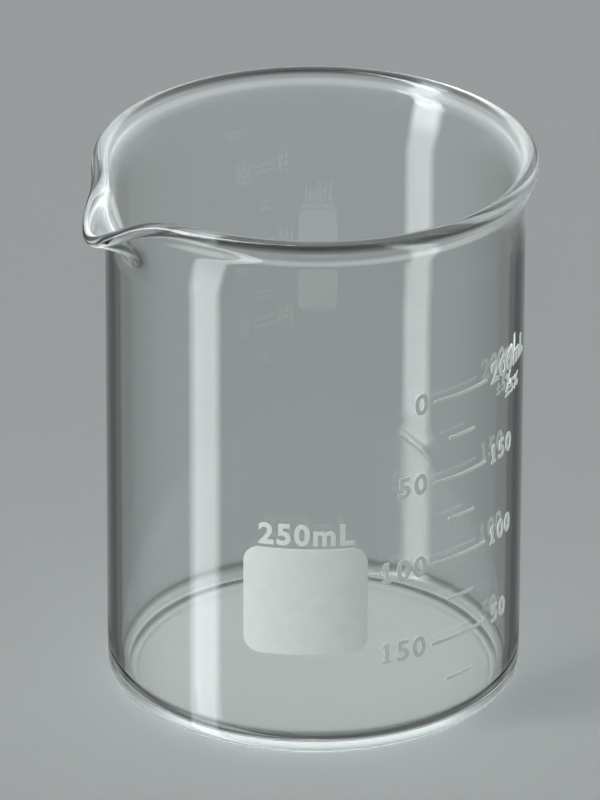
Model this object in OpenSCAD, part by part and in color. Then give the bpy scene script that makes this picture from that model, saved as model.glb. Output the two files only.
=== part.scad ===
// Low-form glass beaker, 250 mL: one blown vessel with a flared bead rim and a pouring spout,
// and the white enamel that is fired onto its wall: a marking spot and the lines of a scale.
// Millimetres. The origin is the middle of the base, +Z is up and the marking spot faces -Y.

/* [Vessel] */
// Outside diameter of the straight wall
body_d = 70; // [60:1:90]
// Height from the base to the top of the rim
body_h = 95; // [80:1:130]
// Thickness of the wall
wall_t = 2.3; // [1.6:0.1:2.8]
// Thickness of the floor
floor_t = 1.4; // [1.2:0.1:4]
// Outside radius of the heel, between the base and the wall
heel_r = 2.7; // [2:0.1:6]
// Inside radius between the floor and the wall
inner_heel_r = 3.4; // [2:0.1:8]

/* [Rim] */
// How far the outside of the rim stands out past the wall
rim_overhang = 2.15; // [1.2:0.05:3.5]
// Thickness of the rounded bead that ends the wall
bead_d = 3.1; // [2.8:0.1:4]
// Height from the foot of the bead on the outside of the wall to the top of the rim
bead_out_h = 5; // [3:0.1:7]
// Height from the foot of the bead on the inside to the top, less since the rim is rolled outwards
bead_in_h = 3.2; // [2.6:0.1:7]
// Height over which the wall flares out to the bead
flare_h = 12; // [8:0.5:16]

/* [Spout] */
// Direction of the spout, in degrees to the left of the front
spout_angle = 57.5; // [0:0.5:180]
// How far the spout carries the rim outwards
spout_reach = 7.5; // [4:0.1:9]
// Half the width of the spout, measured along the rim
spout_half_w = 6.9; // [6.5:0.1:11]
// How far the lip of the spout dips below the rim
spout_dip = 4; // [1:0.1:5]
// Thickness of the glass at the lip of the spout, where the bead is drawn thin
spout_lip_t = 2; // [1.6:0.1:3]
// Height over which the spout grows out of the wall
spout_h = 14; // [11:0.5:18]

/* [Enamel] */
// Thickness of the fired film
film_t = 0.08; // [0.04:0.02:0.2]
// Width of the marking spot, straight across
spot_w = 20.5; // [12:0.1:28]
// Height of the marking spot
spot_h = 19.6; // [12:0.2:28]
// Radius of the corners of the marking spot
spot_corner_r = 2.8; // [1:0.1:5]
// Height of the middle of the marking spot above the base
spot_z = 29.2; // [20:0.2:40]
// Direction of the marking spot, in degrees to the right of the front
spot_angle = -2.3; // [-15:0.1:5]

/* [Scale] */
// Millilitres from one line to the next
scale_step = 25; // [25:25:50]
// Millilitres at the highest line
scale_top = 200; // [100:50:200]
// Direction of the middle of the scale, in degrees to the right of the front
scale_angle = 44.3; // [35:0.1:60]
// How far the print stands above the true fillings
scale_lift = 2; // [0:0.1:3]
// Length of every second line, the ones that carry figures
long_line = 12.4; // [9:0.1:14]
// Length of the lines between them
short_line = 6; // [3:0.1:8]
// Width of a line
line_w = 0.6; // [0.4:0.05:1]

/* [Hidden] */
$fn = 96;

// The wall, taken from its outside, its inside and its middle
body_r = body_d / 2;
bore_r = body_r - wall_t;
wall_mid_r = body_r - wall_t / 2;

// The middle of the bead, where the wall ends
bead_r = bead_d / 2;
lip_r = body_r + rim_overhang - bead_r;
lip_z = body_h - bead_r;

// Heights at which the two sides of the bead start
bead_out_z = body_h - bead_out_h;
bead_in_z = body_h - bead_in_h;

// Heights at which the flare and the spout start, and the mouth with the lower of them
flare_z = body_h - flare_h;
spout_z = lip_z - spout_h;
mouth_z = min(flare_z, spout_z);

// The spout's direction as an angle from +X
spout_dir = 270 - spout_angle;

// How finely the mouth is drawn: stations around it, the share by which they crowd at the spout,
// steps up the wall and steps around the bead
stations = 120;
crowding = 0.3;
wall_steps = 9;
bead_steps = 6;
// Half the span of a finite difference, in degrees and in millimetres
probe = 0.01;
// How far the foot of the mouth stays inside the faces of the straight wall: a little over the sag
// of its longest chord
chord_sag = body_r * (1 - cos(180 / stations * (1 + crowding)));
seam = 1.2 * chord_sag;

// Cubic millimetres in a millilitre
cubic_mm_per_ml = 1000;
bore_area = PI * pow(bore_r, 2);
// Volume that the rounding inside the heel takes away: the corner's area times its path
corner_area = (1 - PI / 4) * pow(inner_heel_r, 2);
corner_inset = inner_heel_r * (10 - 3 * PI) / (12 - 3 * PI);
corner_volume = 2 * PI * (bore_r - corner_inset) * corner_area;

// Height of the surface of a filling, and the filling that reaches a height
function filled_z(ml) = floor_t + (ml * cubic_mm_per_ml + corner_volume) / bore_area;
function filled_ml(z) = ((z - floor_t) * bore_area - corner_volume) / cubic_mm_per_ml;

// The scale has the lines that lie on the straight wall, up to the highest one
line_count = floor(min(scale_top, filled_ml(mouth_z - line_w - scale_lift)) / scale_step);
line_volumes = [for (i = [1 : line_count]) i * scale_step];

function line_name(ml) = str("graduation_", ml);

glass = [0.78, 0.84, 0.83, 0.45];
enamel = [0.88, 0.90, 0.89];

function unit(v) = v / norm(v);
function degrees_of_arc(length, radius) = length / radius * 180 / PI;
function half_turn(a) = a - 360 * round(a / 360);

// The spout's share at the angle a: 1 in its middle, a rounded peak that fades to both sides
function bell(x) = 4 / pow(exp(x) + exp(-x), 2);
function spout_share(a) = bell(half_turn(a - spout_dir) / degrees_of_arc(spout_half_w, lip_r));

// How far a form that starts at from_z has grown at the height z, as a parabola that ends at the lip
function growth(z, from_z) = pow(max(0, z - from_z) / (lip_z - from_z), 2);

// The middle of the glass at the angle a and the height z: the flare carries it outwards all round,
// and the spout carries it further outwards and down
function mid_point(a, z) =
    let (share = spout_share(a))
    let (pull = growth(z, spout_z))
    let (r = wall_mid_r + (lip_r - wall_mid_r) * growth(z, flare_z) + spout_reach * share * pull)
    [r * cos(a), r * sin(a), z - spout_dip * pow(share, 2) * pull];

function along_rim(a, z) = unit(mid_point(a + probe, z) - mid_point(a - probe, z));
function up_wall(a, z) = unit(mid_point(a, z + probe) - mid_point(a, z - probe));
function outwards(a, z) = unit(cross(along_rim(a, z), up_wall(a, z)));

// Half the thickness of the glass at the lip, which is the bead's radius away from the spout
function lip_half(a) = bead_r + (spout_lip_t / 2 - bead_r) * spout_share(a);

// How far a face has swollen from the wall to the bead at the height z, as a smooth step from from_z
function smooth_step(t) = t * t * (3 - 2 * t);
function swelling(z, from_z) = smooth_step(max(0, z - from_z) / (lip_z - from_z));

// From the middle of the glass to its outside (side 1) or its inside (side -1), below the lip
function half_t(a, z, side) =
    let (wall_half = wall_t / 2 - (z == mouth_z ? seam : 0))
    wall_half + (lip_half(a) - wall_half) * swelling(z, side > 0 ? bead_out_z : bead_in_z);

// A point on the outside or the inside of the glass
function skin(a, z, side) = mid_point(a, z) + side * half_t(a, z, side) * outwards(a, z);

// A point on the bead, turn degrees over from its outside
function bead_point(a, turn) =
    let (n = outwards(a, lip_z))
    let (over = cross(n, along_rim(a, lip_z)))
    mid_point(a, lip_z) + lip_half(a) * (cos(turn) * n + sin(turn) * over);

// The heights of the rings, which crowd together below the lip as a sine does,
// and one section of the mouth: up the outside, over the bead, down the inside
ring_z = [for (i = [0 : wall_steps]) mouth_z + (lip_z - mouth_z) * sin(90 * i / wall_steps)];
function section(a) = concat(
    [for (i = [0 : wall_steps]) skin(a, ring_z[i], 1)],
    [for (i = [1 : bead_steps - 1]) bead_point(a, 180 * i / bead_steps)],
    [for (i = [wall_steps : -1 : 0]) skin(a, ring_z[i], -1)]);
section_size = 2 * (wall_steps + 1) + bead_steps - 1;

// The angle of a station: even steps that crowd together at the spout
function station_angle(i) = spout_dir + 360 * i / stations - crowding * 180 / PI * sin(360 * i / stations);

// The flared rim, its bead and the spout: the sections carried round the mouth
module mouth() {
    points = [for (i = [0 : stations - 1]) each section(station_angle(i))];
    function corner(i, j) = (i % stations) * section_size + j % section_size;
    faces = [for (i = [0 : stations - 1], j = [0 : section_size - 1]) each [
        [corner(i, j), corner(i, j + 1), corner(i + 1, j + 1)],
        [corner(i, j), corner(i + 1, j + 1), corner(i + 1, j)]]];
    polyhedron(points, faces);
}

// Half of an upright section: a block from the axis to the radius r, its lower outer edge rounded
module rounded_block(r, low_z, high_z, edge_r) {
    difference() {
        translate([0, low_z])
            square([r, high_z - low_z]);
        translate([r - edge_r, low_z])
            difference() {
                square(edge_r);
                translate([0, edge_r])
                    circle(edge_r);
            }
    }
}

// The base, the heel and the straight wall, up to the mouth
module lower_body() {
    rotate_extrude()
        difference() {
            rounded_block(body_r, 0, mouth_z, heel_r);
            rounded_block(bore_r, floor_t, mouth_z + wall_t, inner_heel_r);
        }
}

module vessel() {
    color(glass)
        union() {
            lower_body();
            mouth();
        }
}

// A strip of film on the wall, its middle at an angle to the right of the front
module film(angle, length, low_z, height) {
    span = degrees_of_arc(length, body_r);
    rotate([0, 0, 270 + angle - span / 2])
        rotate_extrude(angle = span)
            translate([body_r, low_z])
                square([film_t, height]);
}

// A rectangle about its middle with round corners
module rounded_rectangle(w, h, r) {
    square([w - 2 * r, h], center = true);
    square([w, h - 2 * r], center = true);
    for (x = [-1, 1], y = [-1, 1])
        translate([x * (w / 2 - r), y * (h / 2 - r)])
            circle(r);
}

module marking_spot() {
    color(enamel)
        intersection() {
            film(spot_angle, 2 * spot_w, spot_z - spot_h, 2 * spot_h);
            rotate([0, 0, spot_angle])
                translate([0, 0, spot_z])
                    rotate([90, 0, 0])
                        linear_extrude(body_d)
                            rounded_rectangle(spot_w, spot_h, spot_corner_r);
        }
}

module graduation(ml) {
    has_figures = ml % (2 * scale_step) == 0;
    line_z = filled_z(ml) + scale_lift;
    color(enamel)
        film(scale_angle, has_figures ? long_line : short_line, line_z - line_w / 2, line_w);
}

vessel();
marking_spot();
for (ml = line_volumes)
    graduation(ml);
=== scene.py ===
import math

import bmesh
import bpy
import numpy as np
from mathutils import Matrix, Vector


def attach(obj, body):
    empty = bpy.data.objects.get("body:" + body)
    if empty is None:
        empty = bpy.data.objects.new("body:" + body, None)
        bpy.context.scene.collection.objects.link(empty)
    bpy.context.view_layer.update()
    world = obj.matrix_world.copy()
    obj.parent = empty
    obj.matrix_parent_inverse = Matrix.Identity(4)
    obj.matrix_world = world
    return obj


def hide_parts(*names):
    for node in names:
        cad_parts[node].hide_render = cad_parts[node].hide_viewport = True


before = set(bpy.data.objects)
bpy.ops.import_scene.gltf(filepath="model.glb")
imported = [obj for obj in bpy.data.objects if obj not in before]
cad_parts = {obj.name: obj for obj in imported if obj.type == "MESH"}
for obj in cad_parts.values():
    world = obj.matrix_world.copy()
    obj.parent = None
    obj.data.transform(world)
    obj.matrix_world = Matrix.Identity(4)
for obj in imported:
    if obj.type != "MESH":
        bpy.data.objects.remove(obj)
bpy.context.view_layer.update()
scene = bpy.context.scene
mm = 0.001
sharpEdge = 50  # degrees between faces from which an edge is drawn sharp


def linear(hexColour):
    # sRGB hex to linear red, green, blue and alpha
    parts = [int(hexColour[i:i + 2], 16) / 255 for i in (1, 3, 5)]
    return [c / 12.92 if c <= 0.04045 else ((c + 0.055) / 1.055) ** 2.4 for c in parts] + [1.0]


def addNode(tree, kind, settings=None, links=None):
    # settings go to sockets of that name or place, else to the node itself; links join sockets,
    # and a node stands for its first output
    node = tree.nodes.new("ShaderNode" + kind)
    for key, value in (settings or {}).items():
        if isinstance(key, int) or key in node.inputs:
            node.inputs[key].default_value = value
        else:
            setattr(node, key, value)
    for key, source in (links or {}).items():
        socket = source if isinstance(source, bpy.types.NodeSocket) else source.outputs[0]
        tree.links.new(socket, node.inputs[key])
    return node


def emptyTree(owner):
    owner.use_nodes = True
    owner.node_tree.nodes.clear()
    return owner.node_tree


def makePiece(name, points, faces, material, slot, nodes=()):
    # a mesh in metres from points in millimetres, smooth, riding on the one body
    mesh = bpy.data.meshes.new(name)
    mesh.from_pydata((np.asarray(points) * mm).tolist(), [], [f.tolist() for f in faces])
    mesh.polygons.foreach_set("use_smooth", np.ones(len(mesh.polygons), bool))
    mesh.set_sharp_from_angle(angle=math.radians(sharpEdge))
    mesh.materials.append(material)
    mesh.update()
    piece = bpy.data.objects.new(name, mesh)
    scene.collection.objects.link(piece)
    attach(piece, "root")
    if nodes:
        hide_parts(*nodes)
    return piece


# Camera at the photograph's angle, fitted in millimetres and radians for a frame of 600 by 800
cameraFit = {"place": (0.0, -1280.31, 668.54), "yaw": -0.0019, "pitch": 0.4504, "roll": 0.0039,
             "focalPixels": 8473.45, "frameHeight": 800, "sensor": 36}


def makeCamera(fit):
    # the view's right, top and ahead from yaw, pitch and roll, in that order
    cy, sy = math.cos(fit["yaw"]), math.sin(fit["yaw"])
    cp, sp = math.cos(fit["pitch"]), math.sin(fit["pitch"])
    ahead = Vector((sy * cp, cy * cp, -sp))
    level = Vector((cy, -sy, 0))
    upward = level.cross(ahead)
    cr, sr = math.cos(fit["roll"]), math.sin(fit["roll"])
    right, top = cr * level + sr * upward, cr * upward - sr * level
    lens = bpy.data.cameras.new("camera")
    lens.sensor_width = fit["sensor"]
    lens.lens = fit["focalPixels"] / fit["frameHeight"] * fit["sensor"]
    camera = bpy.data.objects.new("camera", lens)
    scene.collection.objects.link(camera)
    turn = Matrix((right, top, -ahead)).transposed().to_4x4()
    camera.matrix_world = Matrix.Translation(Vector(fit["place"]) * mm) @ turn
    scene.camera = camera


makeCamera(cameraFit)
print("camera placed")

# Studio: a plain pale floor with a backdrop of its tone, and for the glass to reflect a dark room
# with one tall soft strip at the left front and a bright ceiling
studio = {
    "floor": "#a3a5a5", "floorHalf": 6.0, "floorDrop": 0.2,  # half its side in metres, drop in millimetres
    "tint": "#f8feff", "backdrop": 0.335, "dome": 0.35, "stripAt": -64.0,
    "oneWall": 2.5,  # a ray that has passed more faces of glass than this has gone through two walls
    "keyPower": 2.6, "keyAngle": -62.0, "keyHeight": 28.0, "keySpread": 24.0,
    # Slopes: what is read, from where to where, and the level before and after. Height, depth and across
    # are those of a ray's direction, turn and around its degrees from the front, faces what it has passed.
    "smooth": {
        "strip": ("fromStrip", 10.2, 6.8, 0, 3.9),
        "stripOutside": ("faces", 0, 1, 1, 0), "stripInside": ("height", -0.8, -0.45, 0, 1),
        "stripMiddle": ("height", -0.32, -0.12, 1, 1.8), "stripTop": ("height", -0.1, 0.4, 1, 2),
        "wing": ("turn", -125, -80, 0, 0.25), "wingEnd": ("turn", -72, -60, 1, 0),
        "panel": ("around", 153, 145, 0, 0.07), "panelEnd": ("around", 130, 140, 0, 1),
        "panelTop": ("height", -0.4, -0.37, 1, 0),
        "ceiling": ("height", 0.0, 0.3, 0, 1.1), "ceilingFront": ("depth", -0.6, 0.3, 0.15, 1),
        "ceilingSides": ("across", 0.15, 0.5, 1, 1.9),
        "glow": ("depth", 0.0, 0.5, 0, 1.0), "glowTop": ("height", 0.2, 0.4, 1, 0),
        "glowFoot": ("height", -0.14, -0.02, 0, 1), "haze": ("height", -0.3, -0.15, 0, 0.35),
        "pale": ("height", -0.38, -0.2, 0, 0.17),
        "line": ("height", -0.32, -0.27, 0, 0.22), "lineTop": ("height", -0.25, -0.19, 1, 0),
        "sides": ("across", 0.25, 0.75, 0, 0.6), "sidesFoot": ("height", -0.35, 0.15, 0, 1),
        "caught": ("height", -0.42, -0.25, 0.11, 0.5)},
    "even": {
        "edge": ("around", 154, 180, 0, 0.08), "sweep": ("around", 154, 180, 0.075, 0.335),
        # painted shade: the backdrop darker for rays heading steeply down, standing for the floor's shadow
        # under the vessel
        "paintedFloorShadow": ("height", -0.66, -0.46, 0.05, 0.335)},
    # Levels worked out from them, in order
    "levels": [
        ("stripShown", "MAXIMUM", "stripOutside", "stripInside"),  # its foot shows on the outside only
        ("strip", "MULTIPLY", "strip", "stripShown", "stripMiddle", "stripTop"),
        ("wing", "MULTIPLY", "wing", "wingEnd"),
        ("panel", "MULTIPLY", "panel", "panelEnd"),
        ("panel", "ADD", "panel", "edge"),
        ("panel", "MULTIPLY", "panel", "panelTop"),
        ("ceiling", "MULTIPLY", "ceiling", "ceilingFront"),
        ("wideCeiling", "MULTIPLY", "ceiling", "ceilingSides"),
        ("glow", "MULTIPLY", "glow", "glowTop"),
        ("glowThrough", "MULTIPLY", "glow", "glowFoot"),
        ("pale", "ADD", "pale", "glowThrough"),
        ("line", "MULTIPLY", "line", "lineTop"),
        ("haze", "MULTIPLY", "haze", "glow"),
        ("room", "ADD", "sweep", "strip", "wing", "panel", "haze"),
        ("sides", "MULTIPLY", "sides", "sidesFoot"),
        ("led", "ADD", "sides", "ceiling", "caught")]}


def makeFloor(look):
    # seen and lit as a matt pale sheet; glass and gloss look past it at the backdrop of the same tone
    material = bpy.data.materials.new("matt pale floor")
    tree = emptyTree(material)
    path = addNode(tree, "LightPath").outputs
    past = addNode(tree, "Math", {"operation": "MAXIMUM"},
                   {0: path["Is Glossy Ray"], 1: path["Is Transmission Ray"]})
    sheet = addNode(tree, "BsdfDiffuse", {"Color": linear(look["floor"])})
    clear = addNode(tree, "BsdfTransparent")
    both = addNode(tree, "MixShader", None, {0: past, 1: sheet, 2: clear})
    addNode(tree, "OutputMaterial", None, {"Surface": both})
    half, z = look["floorHalf"], -look["floorDrop"] * mm
    corners = [(-half, -half, z), (half, -half, z), (half, half, z), (-half, half, z)]
    mesh = bpy.data.meshes.new("floor")
    mesh.from_pydata(corners, [], [(0, 1, 2, 3)])
    mesh.materials.append(material)
    floor = bpy.data.objects.new("floor", mesh)
    scene.collection.objects.link(floor)


def makeWorld(look):
    # camera rays see the plain backdrop and diffuse rays an even dome
    world = bpy.data.worlds.new("studio")
    tree = emptyTree(world)
    path = addNode(tree, "LightPath").outputs
    place = addNode(tree, "TexCoord").outputs
    x, y, z = addNode(tree, "SeparateXYZ", None, {0: place["Generated"]}).outputs
    front = addNode(tree, "Math", {"operation": "MULTIPLY", 1: -1.0}, {0: y})
    angle = addNode(tree, "Math", {"operation": "ARCTAN2"}, {0: x, 1: front})
    turn = addNode(tree, "Math", {"operation": "DEGREES"}, {0: angle})
    past = addNode(tree, "Math", {"operation": "SUBTRACT", 1: look["stripAt"]}, {0: turn})
    level = {"height": z, "depth": y, "turn": turn, "faces": path["Transmission Depth"]}
    for name, source in {"across": x, "around": turn, "fromStrip": past}.items():
        level[name] = addNode(tree, "Math", {"operation": "ABSOLUTE"}, {0: source})
    for kind, slopes in {"SMOOTHSTEP": look["smooth"], "LINEAR": look["even"]}.items():
        for name, (source, low, high, before, after) in slopes.items():
            level[name] = addNode(tree, "MapRange", {1: low, 2: high, 3: before, 4: after,
                                                     "interpolation_type": kind}, {0: level[source]})
    for name, operation, first, *rest in look["levels"]:
        level[name] = level[first]
        for term in rest:
            level[name] = addNode(tree, "Math", {"operation": operation}, {0: level[name], 1: level[term]})
    # rays that only pass through glass see the backdrop, with a painted shadow of the floor under the vessel
    # where they head steeply down, paler above behind one wall, and behind two with a pale line
    twoWalls = addNode(tree, "Math", {"operation": "GREATER_THAN", 1: look["oneWall"]}, {0: level["faces"]})
    above = addNode(tree, "Mix", None, {0: twoWalls, 2: level["pale"], 3: level["line"]})
    backdrop = addNode(tree, "Math", {"operation": "ADD"}, {0: level["paintedFloorShadow"], 1: above})
    # rays that glass has reflected once see the room, and those that it has led round light from the sides
    once, twice = [addNode(tree, "Math", {"operation": "GREATER_THAN", 1: count - 0.5},
                           {0: path["Glossy Depth"]}) for count in (1, 2)]
    reflected = addNode(tree, "Mix", None, {0: once, 2: backdrop, 3: level["room"]})
    lit = addNode(tree, "Math", {"operation": "ADD"}, {0: reflected, 1: level["wideCeiling"]})
    seen = addNode(tree, "Mix", None, {0: twice, 2: lit, 3: level["led"]})
    cast = addNode(tree, "Mix", {3: look["dome"]}, {0: path["Is Diffuse Ray"], 2: seen})
    shown = addNode(tree, "Mix", {3: look["backdrop"]}, {0: path["Is Camera Ray"], 2: cast})
    light = addNode(tree, "Background", {"Color": linear(look["tint"])}, {"Strength": shown})
    addNode(tree, "OutputWorld", None, {"Surface": light})
    scene.world = world


def makeKey(look):
    # the strip's light on the enamel: a broad soft lamp from the left front
    lamp = bpy.data.lights.new("left strip", "SUN")
    lamp.energy = look["keyPower"]
    lamp.angle = math.radians(look["keySpread"])
    key = bpy.data.objects.new("left strip", lamp)
    turn, up = math.radians(look["keyAngle"]), math.radians(look["keyHeight"])
    towards = Vector((math.sin(turn) * math.cos(up), -math.cos(turn) * math.cos(up), math.sin(up)))
    key.rotation_euler = towards.to_track_quat("Z", "Y").to_euler()
    key.visible_glossy = False
    key.visible_transmission = False
    scene.collection.objects.link(key)


makeFloor(studio)
makeWorld(studio)
makeKey(studio)
scene.view_settings.view_transform = "Standard"
print("studio lit")

# Borosilicate glass, blown in a mould and fire-polished: clear, with hard sharp reflections and a faint
# grey-green depth where it is looked along; light that rim and heel have led round comes out scattered
glassLook = {
    "tint": "#fdfffe", "ior": 1.473, "depthTint": "#b9c9c4", "depthDensity": 6.0, "lean": 0.35,
    # Slopes up from 0: what is read, from where to where in millimetres, and the level reached. Back leans
    # away from the spout, and length is how far the ray has come.
    "places": {
        "rim": ("height", 86, 90, 1), "mouth": ("height", 74, 84, 1), "clearOfSpout": ("back", -21, -8, 1),
        "heel": ("height", 9, 7, 1), "heelMiddle": ("across", 26, 16, 1),
        "chord": ("length", 3, 3.6, 1), "longChord": ("length", 5, 8, 1),
        "foot": ("height", 5.2, 4.6, 0.15), "rimSides": ("across", 22, 33, 0.24)},
    # The same for counts of reflections and of faces that were passed
    "counts": {
        "turned": ("reflections", 0, 1, 1), "turnedOften": ("reflections", 2, 3, 1),
        "near": ("faces", 3, 2, 1), "beyond": ("faces", 1, 2, 1)},
    # Roughness worked out from them, in order
    "levels": [
        # after three reflections anywhere in the mouth, or at the front and back of the heel
        ("heel", "MULTIPLY", "heel", "heelMiddle"),
        ("deep", "MAXIMUM", "mouth", "heel"),
        ("deep", "MULTIPLY", "deep", "turnedOften"),
        # inside the sides of the rim after one, or where it is looked along
        ("side", "MULTIPLY", "rim", "clearOfSpout"),
        ("along", "MULTIPLY", "turned", "chord"),
        ("along", "MAXIMUM", "along", "longChord"),
        ("along", "MULTIPLY", "along", "inside", "side"),
        ("caught", "MAXIMUM", "deep", "along"),
        ("caught", "MULTIPLY", "caught", "near"),
        # the far side of the heel shows softly through the wall, and the sides of the rim blur a little
        ("far", "MULTIPLY", "foot", "beyond"),
        ("blur", "MULTIPLY", "rimSides", "side"),
        ("roughness", "MAXIMUM", "caught", "far", "blur")]}


def makeGlass(look):
    material = bpy.data.materials.new("borosilicate glass")
    tree = emptyTree(material)
    place = addNode(tree, "TexCoord").outputs
    path = addNode(tree, "LightPath").outputs
    face = addNode(tree, "NewGeometry").outputs
    x, y, z = addNode(tree, "SeparateXYZ", None, {0: place["Object"]}).outputs
    level = {"height": z, "length": path["Ray Length"], "reflections": path["Glossy Depth"],
             "faces": path["Transmission Depth"], "inside": face["Backfacing"]}
    level["across"] = addNode(tree, "Math", {"operation": "ABSOLUTE"}, {0: x})
    level["back"] = addNode(tree, "Math", {"operation": "MULTIPLY_ADD", 1: look["lean"]}, {0: x, 2: y})
    for slopes, size in ((look["places"], mm), (look["counts"], 1)):
        for name, (source, low, high, after) in slopes.items():
            level[name] = addNode(tree, "MapRange", {1: low * size, 2: high * size, 4: after},
                                  {0: level[source]})
    for name, operation, first, *rest in look["levels"]:
        level[name] = level[first]
        for term in rest:
            level[name] = addNode(tree, "Math", {"operation": operation}, {0: level[name], 1: level[term]})
    glass = addNode(tree, "BsdfPrincipled",
                    {"Base Color": linear(look["tint"]), "IOR": look["ior"], "Transmission Weight": 1.0},
                    {"Roughness": level["roughness"]})
    depth = addNode(tree, "VolumeAbsorption",
                    {"Color": linear(look["depthTint"]), "Density": look["depthDensity"]})
    addNode(tree, "OutputMaterial", None, {"Surface": glass, "Volume": depth})
    return material


# Fired white enamel, screen-printed: satin, slightly mottled where the ink lay thin, with a fine grain;
# the sizes of its patches and grain and the depth of its bump are in millimetres
enamelLook = {"thin": "#d6dad8", "full": "#e4e8e6", "ior": 1.5, "smoothest": 0.38, "roughest": 0.52,
              "patch": 2.5, "patchDetail": 4.0, "grain": 0.25, "grainDetail": 2.0,
              "bump": 0.15, "bumpDepth": 0.02}


def makeEnamel(look):
    material = bpy.data.materials.new("fired white enamel")
    tree = emptyTree(material)
    place = addNode(tree, "TexCoord").outputs
    mottle = addNode(tree, "TexNoise", {"Scale": 1 / (look["patch"] * mm), "Detail": look["patchDetail"]},
                     {"Vector": place["Object"]}).outputs["Fac"]
    tone = addNode(tree, "Mix", {"data_type": "RGBA", 6: linear(look["thin"]), 7: linear(look["full"])},
                   {0: mottle})
    grain = addNode(tree, "TexNoise", {"Scale": 1 / (look["grain"] * mm), "Detail": look["grainDetail"]},
                    {"Vector": place["Object"]}).outputs["Fac"]
    satin = addNode(tree, "MapRange", {"To Min": look["smoothest"], "To Max": look["roughest"]},
                    {"Value": grain})
    bump = addNode(tree, "Bump", {"Strength": look["bump"], "Distance": look["bumpDepth"] * mm},
                   {"Height": grain})
    enamel = addNode(tree, "BsdfPrincipled", {"IOR": look["ior"]},
                     {"Base Color": tone.outputs[2], "Roughness": satin, "Normal": bump})
    addNode(tree, "OutputMaterial", None, {"Surface": enamel})
    return material


glassFinish = makeGlass(glassLook)
enamelFinish = makeEnamel(enamelLook)
print("materials made")

# Vessel, in millimetres and degrees, with the number of rings on each stretch of its skin
vessel = {"bodyR": 35.0, "height": 94.96, "wall": 2.3, "floor": 1.4, "heelR": 2.7, "innerHeelR": 3.4,
          "rimOverhang": 2.1, "beadR": 1.55, "beadOutside": 5.0, "beadInside": 3.0, "flareHeight": 12.0,
          "spoutDirection": 212.5, "spoutReach": 7.5, "spoutHalfWidth": 6.9, "spoutDip": 4.0,
          "spoutHeight": 14.0, "spoutLipR": 1.0, "scaleLift": 2.0,
          "stations": 400, "crowding": 0.45, "poleR": 2.0,
          "flatRings": 8, "cornerRings": 14, "wallRings": 16, "mouthRings": 44, "beadRings": 28}
vessel["boreR"] = vessel["bodyR"] - vessel["wall"]
vessel["lipR"] = vessel["bodyR"] + vessel["rimOverhang"] - vessel["beadR"]
vessel["lipZ"] = vessel["height"] - vessel["beadR"]
vessel["flareZ"] = vessel["height"] - vessel["flareHeight"]
vessel["spoutZ"] = vessel["lipZ"] - vessel["spoutHeight"]
vessel["mouthZ"] = min(vessel["flareZ"], vessel["spoutZ"])


def growth(v, z, fromZ):
    # a parabola that is 0 up to fromZ and 1 at the lip
    return (np.maximum(0, z - fromZ) / (v["lipZ"] - fromZ)) ** 2


def swelling(v, z, beadHeight):
    # a smooth step from the wall to the full bead, which starts the bead's height below the top
    fromZ = v["height"] - beadHeight
    t = np.clip((z - fromZ) / (v["lipZ"] - fromZ), 0, 1)
    return t * t * (3 - 2 * t)


def spoutShare(v, angle):
    # a bell, 1 over cosh squared of the way along the rim from the middle of the spout
    offset = np.degrees(np.angle(np.exp(1j * np.radians(angle - v["spoutDirection"]))))
    return 1 / np.cosh(np.radians(offset) * v["lipR"] / v["spoutHalfWidth"]) ** 2


def middleOfGlass(v, angle, z):
    # the wall's middle radius, flared all round by one parabola, and drawn out and down at the spout
    # by another times the spout's bell
    share = spoutShare(v, angle)
    pull = growth(v, z, v["spoutZ"])
    wallR = v["bodyR"] - v["wall"] / 2
    r = wallR + (v["lipR"] - wallR) * growth(v, z, v["flareZ"]) + v["spoutReach"] * share * pull
    a = np.radians(angle)
    return np.stack([r * np.cos(a), r * np.sin(a), z - v["spoutDip"] * share ** 2 * pull], -1)


def unit(a):
    return a / np.linalg.norm(a, axis=-1, keepdims=True)


def directions(v, angle, z, step=0.01):
    # along the rim by central differences, and outwards as its cross product with the way up the wall
    along = unit(middleOfGlass(v, angle + step, z) - middleOfGlass(v, angle - step, z))
    up = unit(middleOfGlass(v, angle, z + step) - middleOfGlass(v, angle, z - step))
    return along, unit(np.cross(along, up))


def turned(angle, r, z):
    # a profile of radius and height turned about the axis: rows follow the profile, columns the angle
    a = np.radians(angle)[None, :]
    r, z = r[:, None], z[:, None]
    return np.stack([r * np.cos(a), r * np.sin(a), z + 0 * a], -1)


def quarter(r, n, start, sweep):
    # radius and height along a quarter of a circle
    t = np.radians(np.linspace(start, start + sweep, n))
    return r * np.cos(t), r * np.sin(t)


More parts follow.
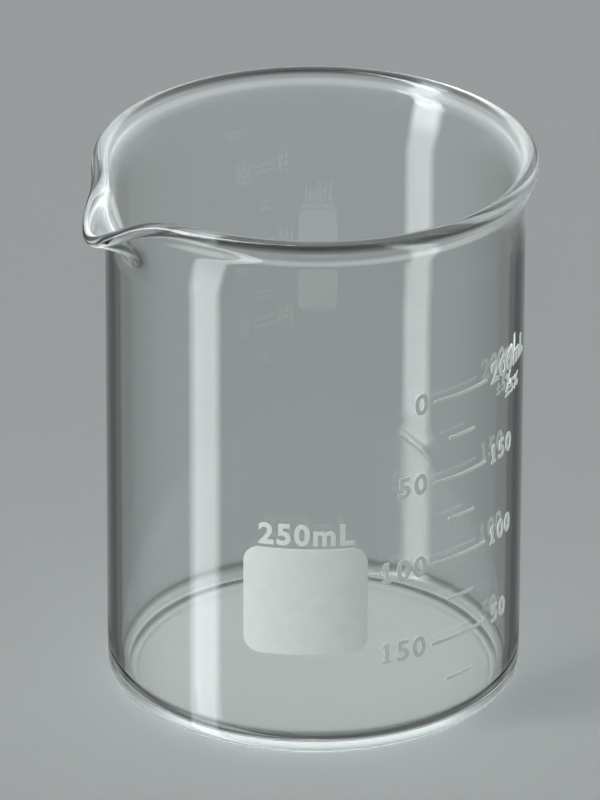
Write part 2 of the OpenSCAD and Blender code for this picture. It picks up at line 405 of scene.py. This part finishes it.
def vesselSurface(v):
    # one closed skin: out across the base, up the outside, over the bead, down the inside and in across
    # the floor; the stations crowd together at the spout by a sine
    i = np.arange(v["stations"]) * 360 / v["stations"]
    angle = v["spoutDirection"] + i - v["crowding"] * np.degrees(np.sin(np.radians(i)))
    r = np.linspace(v["poleR"], v["bodyR"] - v["heelR"], v["flatRings"])[:-1]
    base = turned(angle, r, 0 * r)
    x, z = quarter(v["heelR"], v["cornerRings"], -90, 90)
    heel = turned(angle, v["bodyR"] - v["heelR"] + x, v["heelR"] + z)
    z = np.linspace(v["heelR"], v["mouthZ"], v["wallRings"])[1:-1]
    outer = turned(angle, v["bodyR"] + 0 * z, z)
    # the mouth stands off the middle of the glass on both sides, by half the wall or the swollen bead
    z = np.linspace(v["mouthZ"], v["lipZ"], v["mouthRings"])[:, None] + 0 * angle
    a = angle[None, :] + 0 * z
    along, out = directions(v, a, z)
    lip = v["beadR"] + (v["spoutLipR"] - v["beadR"]) * spoutShare(v, a)
    middle = middleOfGlass(v, a, z)
    wallHalf = v["wall"] / 2
    outside = middle + (wallHalf + (lip - wallHalf) * swelling(v, z, v["beadOutside"]))[..., None] * out
    inside = middle - (wallHalf + (lip - wallHalf) * swelling(v, z, v["beadInside"]))[..., None] * out
    over = np.cross(out[-1], along[-1])
    t = np.radians(np.linspace(0, 180, v["beadRings"])[1:-1])[:, None, None]
    bead = middle[-1] + lip[-1][:, None] * (np.cos(t) * out[-1] + np.sin(t) * over)
    coveZ, coveR = v["floor"] + v["innerHeelR"], v["boreR"] - v["innerHeelR"]
    z = np.linspace(v["mouthZ"], coveZ, v["wallRings"])[1:-1]
    inner = turned(angle, v["boreR"] + 0 * z, z)
    x, z = quarter(v["innerHeelR"], v["cornerRings"], 0, -90)
    cove = turned(angle, coveR + x, coveZ + z)
    r = np.linspace(coveR, v["poleR"], v["flatRings"])[1:]
    floor = turned(angle, r, v["floor"] + 0 * r)
    rows = np.concatenate([base, heel, outer, outside, bead, inside[::-1], inner, cove, floor])
    n, m = rows.shape[:2]
    points = np.concatenate([rows.reshape(-1, 3), [[0, 0, 0], [0, 0, v["floor"]]]])
    grid = np.arange(n * m).reshape(n, m)
    beside = np.roll(grid, -1, 1)
    quads = np.stack([grid[:-1], beside[:-1], beside[1:], grid[1:]], -1).reshape(-1, 4)
    foot = np.stack([np.full(m, n * m), beside[0], grid[0]], -1)
    top = np.stack([np.full(m, n * m + 1), grid[-1], beside[-1]], -1)
    return points, [*quads, *foot, *top]


glassPiece = makePiece("glass_vessel", *vesselSurface(vessel), glassFinish, "clear_glass", ["vessel"])
glassPiece.visible_shadow = False
print("vessel made:", len(glassPiece.data.polygons), "faces")

# Enamel: sizes in millimetres, places in degrees to the right of the front and millimetres up; the film's
# inside is just under the face of the glass
printed = {"wallR": vessel["bodyR"], "outer": 35.08, "inner": 34.97, "cornerRows": 12, "sideRows": 14,
           "spotWidth": 20.5, "spotHeight": 19.6, "spotCorner": 2.8, "spotColumns": 40,
           "spotAngle": -2.3, "spotZ": 29.2,
           "scaleAngle": 44.3, "scaleStep": 25, "scaleTop": 200, "longLine": 12.4, "shortLine": 6.0,
           "lineWidth": 0.6, "lineCorner": 0.12, "lineColumns": 24}


def onWall(x, z, r, angle):
    # flat x runs round the wall from the angle, at the wall's radius; r is the distance from the axis
    a = np.radians(angle) + x / printed["wallR"]
    return np.stack([r * np.sin(a), -r * np.cos(a), z + 0 * a], -1)


def patch(x, z, angle):
    # a sheet of rows and columns laid on the wall twice, at the film's outside and inside, sewn at its edge
    n, m = x.shape
    outer, inner = onWall(x, z, printed["outer"], angle), onWall(x, z, printed["inner"], angle)
    points = np.concatenate([outer.reshape(-1, 3), inner.reshape(-1, 3)])
    f = np.arange(n * m).reshape(n, m)
    b = f + n * m
    front = np.stack([f[:-1, :-1], f[:-1, 1:], f[1:, 1:], f[1:, :-1]], -1).reshape(-1, 4)
    back = np.stack([b[:-1, :-1], b[1:, :-1], b[1:, 1:], b[:-1, 1:]], -1).reshape(-1, 4)
    edge = np.concatenate([f[0], f[1:, -1], f[-1, -2::-1], f[-2:0:-1, 0]])
    after = np.roll(edge, -1)
    rim = np.stack([after, edge, edge + n * m, after + n * m], -1)
    return points, [*front, *back, *rim]


def roundedSheet(w, h, corner, columns):
    # rows crowd in the corners; each row is as wide as a rectangle with round corners is at that height
    bend = corner * np.sin(np.radians(np.linspace(0, 90, printed["cornerRows"])))
    straight = h / 2 - corner
    side = np.linspace(-straight, straight, printed["sideRows"])[1:-1]
    z = np.concatenate([-straight - bend[::-1], side, straight + bend])
    past = np.maximum(0, np.abs(z) - straight)
    halfWidth = w / 2 - corner + np.sqrt(np.maximum(0, corner ** 2 - past ** 2))
    return halfWidth[:, None] * np.linspace(-1, 1, columns)[None, :], z[:, None] + np.zeros((1, columns))


def makeSpot(p):
    x, z = roundedSheet(p["spotWidth"], p["spotHeight"], p["spotCorner"], p["spotColumns"])
    x = p["wallR"] * np.arcsin(x / p["wallR"])  # the width is straight across
    return makePiece("marking_spot_print", *patch(x, z + p["spotZ"], p["spotAngle"]), enamelFinish,
                     "white_enamel", ["marking_spot"])


def lineHeight(v, ml):
    # the surface of a filling: floor, plus the volume and what the rounded corner takes away over the
    # area of the bore; the print stands a little above it
    cubicMm = 1000 * ml
    c = v["innerHeelR"]
    inset = c * (10 - 3 * math.pi) / (12 - 3 * math.pi)
    corner = 2 * math.pi * (v["boreR"] - inset) * (1 - math.pi / 4) * c ** 2
    return v["floor"] + v["scaleLift"] + (cubicMm + corner) / (math.pi * v["boreR"] ** 2)


def makeLine(p, ml):
    # every second line is long
    length = p["longLine"] if ml % (2 * p["scaleStep"]) == 0 else p["shortLine"]
    x, z = roundedSheet(length, p["lineWidth"], p["lineCorner"], p["lineColumns"])
    return makePiece(f"line_{ml}", *patch(x, z + lineHeight(vessel, ml), p["scaleAngle"]), enamelFinish,
                     "white_enamel", [f"graduation_{ml}"])


makeSpot(printed)
for ml in range(printed["scaleStep"], printed["scaleTop"] + 1, printed["scaleStep"]):
    makeLine(printed, ml)
print("spot and lines made")

# Lettering: cap height and added weight as shares of the type size, and in millimetres the slices that let
# it bend round the wall, its thickness before it is wrapped and the lengths that count as nothing
lettering = {"capShare": 0.69, "weight": 0.03, "curveSteps": 5, "firstSlice": 0.4, "slice": 0.6,
             "thick": 1.0, "tiny": 1e-4, "tinyCut": 1e-5}
# A figure 1 with a flag and a foot, in cap heights: its right edge is at 0, and it leads the typeset figures
leadingOne = {
    "x": [-0.48, -0.345, -0.125, 0, -0.48, -0.345, -0.125, 0, -0.345, -0.125, -0.345, -0.125, -0.46, -0.46],
    "y": [-0.03, -0.03, -0.03, -0.03, 0.13, 0.13, 0.13, 0.13, 0.74, 0.74, 1.03, 1.03, 0.70, 0.90],
    "faces": [(0, 1, 5, 4), (1, 2, 6, 5), (2, 3, 7, 6), (5, 6, 9, 8), (8, 9, 11, 10), (12, 8, 10, 13)],
    "gap": 0.26, "advance": 0.87}
# Name, figures, cap height, letter spacing, angle, height of the middle, and the end that the angle gives
figures = [("capacity", "250mL", 3.6, 1.15, -2.1, 41.6, "CENTER"),
           ("contents_200", "200mL", 3.6, 1.04, 56.4, lineHeight(vessel, 200) + 0.6, "LEFT"),
           ("tolerance", "±5%", 2.3, 1.1, 64.5, lineHeight(vessel, 200) - 4.6, "LEFT"),
           ("contents_150", "150", 3.2, 1.2, 56.2, lineHeight(vessel, 150) + 0.4, "LEFT"),
           ("contents_100", "100", 3.2, 1.2, 56.2, lineHeight(vessel, 100) + 0.3, "LEFT"),
           ("contents_50", "50", 3.2, 1.2, 58.0, lineHeight(vessel, 50) + 0.2, "LEFT"),
           ("room_0", "0", 3.5, 1.2, 32.2, lineHeight(vessel, 200) + 0.3, "RIGHT"),
           ("room_50", "50", 3.5, 1.2, 32.2, lineHeight(vessel, 150) + 0.6, "RIGHT"),
           ("room_100", "100", 3.5, 1.2, 32.2, lineHeight(vessel, 100) + 0.3, "RIGHT"),
           ("room_150", "150", 3.5, 1.2, 32.2, lineHeight(vessel, 50) + 0.3, "RIGHT")]


def flatFigures(name, words, capHeight, spacing, align):
    # the words set in type and made a flat mesh, in millimetres
    font = bpy.data.curves.new(name, "FONT")
    font.body = words
    font.size = capHeight / lettering["capShare"]
    font.offset = lettering["weight"] * font.size  # the most that leaves every outline clear of itself
    font.space_character = spacing
    font.align_x = align
    font.resolution_u = lettering["curveSteps"]
    flat = bpy.data.objects.new(name, font)
    scene.collection.objects.link(flat)
    mesh = bpy.data.meshes.new_from_object(flat.evaluated_get(bpy.context.evaluated_depsgraph_get()))
    bpy.data.objects.remove(flat)
    return mesh


def makeFigures(name, words, capHeight, spacing, angle, z, align):
    # flat lettering cut into upright slices, given a back, and wrapped on the wall like the other print
    hasOne = words.startswith("1")
    mesh = flatFigures(name, words[1:] if hasOne else words, capHeight, spacing, align)
    work = bmesh.new()
    work.from_mesh(mesh)
    bmesh.ops.remove_doubles(work, verts=work.verts, dist=lettering["tiny"])
    if hasOne:
        left = min(w.co.x for w in work.verts) - leadingOne["gap"] * capHeight
        corners = [work.verts.new((left + x * capHeight, y * capHeight, 0))
                   for x, y in zip(leadingOne["x"], leadingOne["y"])]
        for face in leadingOne["faces"]:
            work.faces.new([corners[i] for i in face])
    xs = np.array([w.co.x for w in work.verts])
    for cut in np.arange(xs.min() + lettering["firstSlice"], xs.max(), lettering["slice"]):
        bmesh.ops.bisect_plane(work, geom=[*work.verts, *work.edges, *work.faces], dist=lettering["tinyCut"],
                               plane_co=(cut, 0, 0), plane_no=(1, 0, 0))
    bmesh.ops.dissolve_degenerate(work, dist=lettering["tiny"], edges=work.edges[:])
    front = bmesh.ops.extrude_face_region(work, geom=work.faces[:])["geom"]
    bmesh.ops.translate(work, vec=(0, 0, lettering["thick"]),
                        verts=[w for w in front if isinstance(w, bmesh.types.BMVert)])
    bmesh.ops.recalc_face_normals(work, faces=work.faces)
    work.to_mesh(mesh)
    work.free()
    co = np.zeros(len(mesh.vertices) * 3)
    mesh.vertices.foreach_get("co", co)
    co = co.reshape(-1, 3)
    order = np.lexsort(co.T)  # a fixed order of points and faces, because the cutting's own varies
    place = np.argsort(order)
    faces = sorted((place[np.array(f.vertices)] for f in mesh.polygons), key=sorted)
    bpy.data.meshes.remove(mesh)
    co = co[order]
    r = np.where(co[:, 2] > lettering["thick"] / 2, printed["outer"], printed["inner"])
    start = leadingOne["advance"] * capHeight if hasOne and align == "LEFT" else 0
    points = onWall(co[:, 0] + start, co[:, 1] + z - capHeight / 2, r, angle)
    return makePiece(name, points, faces, enamelFinish, "white_enamel")


for row in figures:
    makeFigures(*row)
print("figures made")
